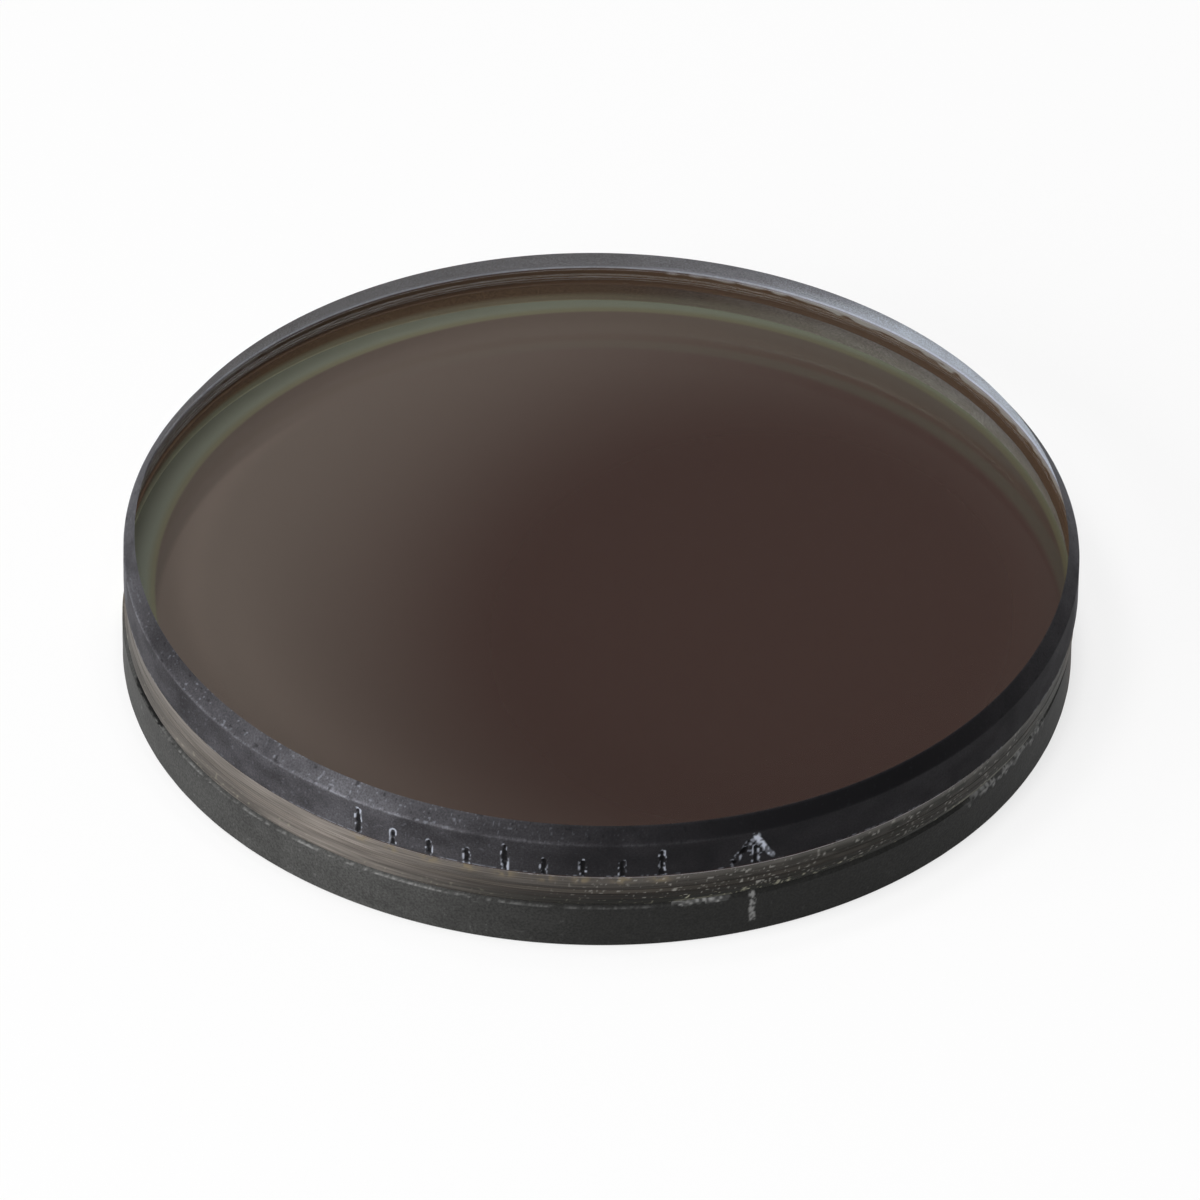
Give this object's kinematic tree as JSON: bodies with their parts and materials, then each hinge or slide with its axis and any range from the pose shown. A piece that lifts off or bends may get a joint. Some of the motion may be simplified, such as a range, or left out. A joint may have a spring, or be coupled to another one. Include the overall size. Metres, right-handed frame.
{
  "type": "circular polarizer",
  "caption": "Bare laminated circular polarizer disc: two ground glass windows with retarder and polarizer films cemented between them, for a one-inch optic cell.",
  "frame": {"origin": "on the rear window's polished outer face, on the front window's axis", "axes": "+Z through the thickness, from the rear window to the front window, which light enters first. -Y is the side with the engraved arrow."},
  "size_m": [0.0254, 0.0254, 0.0039],
  "materials": {
    "front_glass": "polished faces, ground wall and bevel",
    "rear_glass": "fine ground wall, polished outer face",
    "optical_cement": "cured clear cement, yellowed at the edge",
    "retarder_film": "stretched polymer film with a striated cut edge",
    "polarizer_cover": "clear cover film over a dark core",
    "polarizer_core": "dark dyed film"
  },
  "bodies": {
    "root": {"front_window": "front_glass", "front_cement": "optical_cement", "quarter_wave_film": "retarder_film", "film_cement": "optical_cement", "polarizer_front_cover": "polarizer_cover", "polarizer_core": "polarizer_core", "polarizer_rear_cover": "polarizer_cover", "rear_cement": "optical_cement", "rear_window": "rear_glass"}
  },
  "joints": []
}
